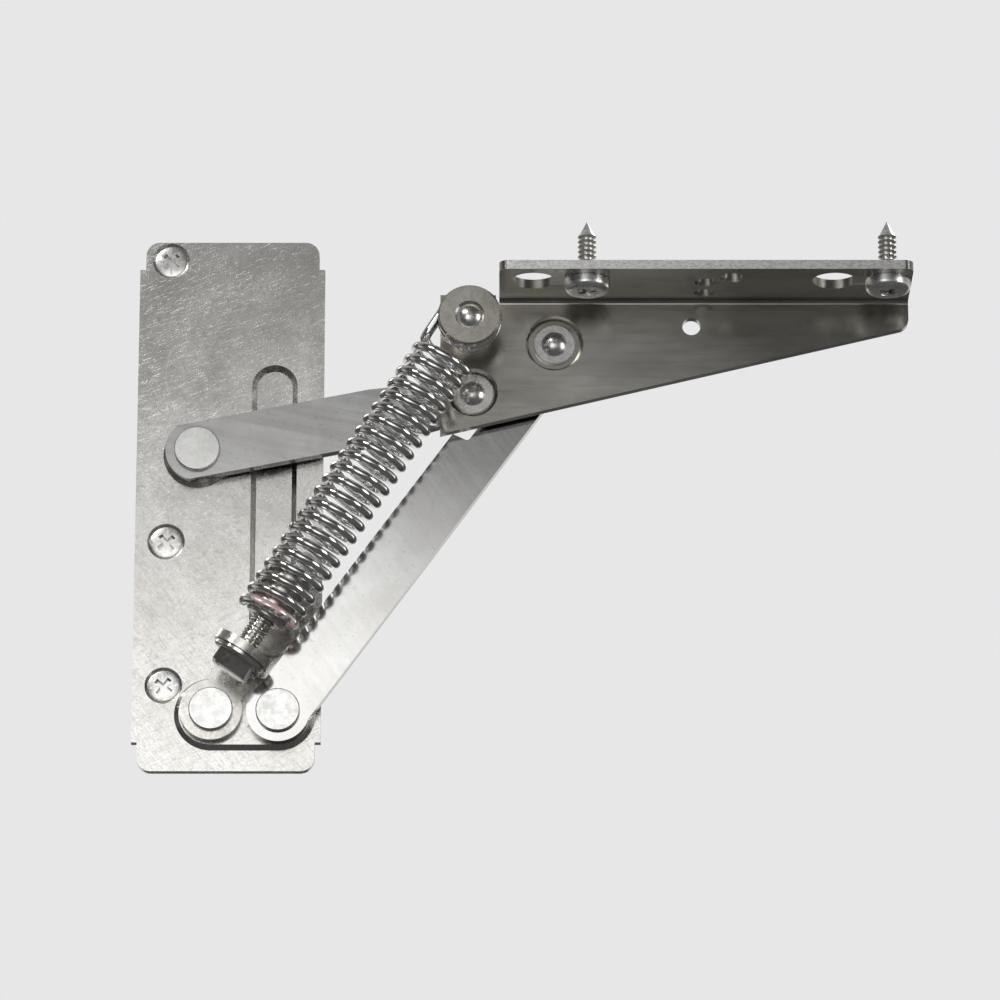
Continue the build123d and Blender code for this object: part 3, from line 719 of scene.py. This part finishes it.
# ---- Stage: pale floor, pale world, soft lights and one graded card that the metal mirrors ----
def ramp_node(tree, source, stops, warmth=1.0):
    """A grey ramp from (position, value) pairs; a warmth under 1 takes out some blue."""
    ramp = tree.nodes.new("ShaderNodeValToRGB")
    elements = ramp.color_ramp.elements
    while len(elements) < len(stops):
        elements.new(0.5)
    for element, (position, value) in zip(elements, stops):
        element.position = position
        element.color = (value, value * (1 + warmth) / 2, value * warmth, 1)
    tree.links.new(source, ramp.inputs["Fac"])
    return ramp.outputs["Color"]


def multiplied(tree, first, second):
    """The product of two colours."""
    node = tree.nodes.new("ShaderNodeVectorMath")
    node.operation = "MULTIPLY"
    tree.links.new(first, node.inputs[0])
    tree.links.new(second, node.inputs[1])
    return node.outputs[0]


def floor(height):
    """A pale floor far below, dark only where metal mirrors it."""
    reach = 6.0
    corners = [(x * reach, y * reach, height) for x, y in ((-1, -1), (1, -1), (1, 1), (-1, 1))]
    mesh = bpy.data.meshes.new("floor")
    mesh.from_pydata(corners, [], [(0, 1, 2, 3)])
    thing = bpy.data.objects.new("floor", mesh)
    scene.collection.objects.link(thing)
    material = bpy.data.materials.new("floor")
    material.use_nodes = True
    tree = material.node_tree
    shader = tree.nodes["Principled BSDF"]
    shader.inputs["Roughness"].default_value = 0.9
    rays = tree.nodes.new("ShaderNodeLightPath")
    greys = ramp_node(tree, rays.outputs["Is Glossy Ray"], FLOOR_GREYS)
    tree.links.new(greys, shader.inputs["Base Color"])
    mesh.materials.append(material)


def as_share(tree, source):
    """A value from -1 to 1, brought to 0 to 1 for a ramp."""
    node = tree.nodes.new("ShaderNodeMath")
    node.operation = "MULTIPLY_ADD"
    node.inputs[1].default_value = 0.5
    node.inputs[2].default_value = 0.5
    tree.links.new(source, node.inputs[0])
    return node.outputs[0]


def world():
    """Pale to the camera and to the floor; for what the metal mirrors, graded by
    height and from front to back."""
    scene.world = bpy.data.worlds.new("studio")
    scene.world.use_nodes = True
    tree = scene.world.node_tree
    tree.nodes.clear()
    output = tree.nodes.new("ShaderNodeOutputWorld")
    plain = tree.nodes.new("ShaderNodeBackground")
    plain.inputs["Color"].default_value = (SEEN_GREY, SEEN_GREY, SEEN_GREY, 1)
    mirrored = tree.nodes.new("ShaderNodeBackground")
    place = tree.nodes.new("ShaderNodeTexCoord")
    split = tree.nodes.new("ShaderNodeSeparateXYZ")
    tree.links.new(place.outputs["Generated"], split.inputs[0])
    by_height = ramp_node(tree, as_share(tree, split.outputs["Z"]), WORLD_GREYS, 0.96)
    by_depth = ramp_node(tree, as_share(tree, split.outputs["Y"]), WORLD_DEPTH_GREYS)
    tree.links.new(multiplied(tree, by_height, by_depth), mirrored.inputs["Color"])
    rays = tree.nodes.new("ShaderNodeLightPath")
    choose = tree.nodes.new("ShaderNodeMixShader")
    tree.links.new(rays.outputs["Is Glossy Ray"], choose.inputs["Fac"])
    tree.links.new(plain.outputs[0], choose.inputs[1])
    tree.links.new(mirrored.outputs[0], choose.inputs[2])
    tree.links.new(choose.outputs[0], output.inputs["Surface"])


def panel(name, place, aim, width, height, radiance, tint=(1, 1, 1)):
    """A soft light, as bright as a card of that radiance."""
    light = bpy.data.lights.new(name, "AREA")
    light.shape = "RECTANGLE"
    light.size = width
    light.size_y = height
    light.energy = radiance * math.pi * width * height
    light.color = tint
    thing = bpy.data.objects.new(name, light)
    thing.location = place
    thing.rotation_mode = "QUATERNION"
    thing.rotation_quaternion = (Vector(aim) - Vector(place)).to_track_quat("-Z", "Y")
    thing.visible_camera = False
    scene.collection.objects.link(thing)


def graded_card(low_corner, high_corner, height_stops, across_stops):
    """An upright card in front, bright low down and at low X, hidden from the camera."""
    mesh = bpy.data.meshes.new("card")
    y = low_corner.y
    corners = [
        (low_corner.x, y, low_corner.z),
        (high_corner.x, y, low_corner.z),
        (high_corner.x, y, high_corner.z),
        (low_corner.x, y, high_corner.z),
    ]
    mesh.from_pydata(corners, [], [(0, 1, 2, 3)])
    thing = bpy.data.objects.new("card", mesh)
    scene.collection.objects.link(thing)
    material = bpy.data.materials.new("card")
    material.use_nodes = True
    tree = material.node_tree
    tree.nodes.clear()
    output = tree.nodes.new("ShaderNodeOutputMaterial")
    glow = tree.nodes.new("ShaderNodeEmission")
    place = tree.nodes.new("ShaderNodeTexCoord")
    split = tree.nodes.new("ShaderNodeSeparateXYZ")
    tree.links.new(place.outputs["Generated"], split.inputs[0])
    by_height = ramp_node(tree, split.outputs["Z"], height_stops)
    across = ramp_node(tree, split.outputs["X"], across_stops)
    tree.links.new(multiplied(tree, by_height, across), glow.inputs["Color"])
    glow.inputs["Strength"].default_value = CARD_POWER
    tree.links.new(glow.outputs[0], output.inputs["Surface"])
    mesh.materials.append(material)
    thing.visible_camera = False


SEEN_GREY = 0.80
WORLD_GREYS = ((0.0, 0.20), (0.40, 0.30), (0.47, 0.80), (0.56, 0.80), (0.70, 0.35), (1.0, 0.60))
WORLD_DEPTH_GREYS = ((0.0, 0.16), (0.42, 0.12), (0.56, 0.55), (1.0, 1.0))
CARD_POWER = 1.8
CARD_HEIGHT_GREYS = (
    (0.0, 0.9),
    (0.12, 1.0),
    (0.42, 1.0),
    (0.53, 0.72),
    (0.585, 0.38),
    (0.63, 0.24),
    (1.0, 0.18),
)
CARD_ACROSS_GREYS = (
    (0.0, 0.2),
    (0.16, 1.0),
    (0.38, 1.0),
    (0.47, 0.70),
    (0.58, 0.46),
    (0.70, 0.24),
    (1.0, 0.10),
)
CARD_LOW = Vector((-0.12, -0.36, -0.10))
CARD_HIGH = Vector((0.26, -0.36, 0.24))
FLOOR_GREYS = ((0.0, 0.80), (1.0, 0.07))
FLOOR_DROP = 0.75

low, high = size_before
centre = (low + high) / 2
floor(low.z - FLOOR_DROP)
world()
graded_card(CARD_LOW, CARD_HIGH, CARD_HEIGHT_GREYS, CARD_ACROSS_GREYS)
panel("key", centre + Vector((-0.7, -1.0, 0.9)), centre, 0.5, 0.4, 9.0, (1.0, 0.99, 0.975))
panel("fill", centre + Vector((1.2, -0.7, 0.1)), centre, 0.5, 0.7, 4.0)
panel("rim", centre + Vector((0.5, 0.8, 0.8)), centre, 0.5, 0.5, 4.0)


# ---- Camera: level in azimuth, looking up from below the flange ----
camera_data = bpy.data.cameras.new("camera")
camera = bpy.data.objects.new("camera", camera_data)
scene.collection.objects.link(camera)
scene.camera = camera
CAMERA_DISTANCE = 1.25
CAMERA_ELEVATION = -18.5
CAMERA_AIM = Vector((0.0712, -0.010, -0.0253))
CAMERA_LENS = 212
tilt = math.radians(CAMERA_ELEVATION)
camera.location = CAMERA_AIM + Vector((0, -math.cos(tilt), math.sin(tilt))) * CAMERA_DISTANCE
camera.rotation_mode = "QUATERNION"
camera.rotation_quaternion = (CAMERA_AIM - camera.location).to_track_quat("-Z", "Y")
camera_data.sensor_width = 36
camera_data.lens = CAMERA_LENS
camera_data.clip_start = 0.05
camera_data.clip_end = 50
camera_data.dof.use_dof = False

scene.view_settings.view_transform = "Standard"
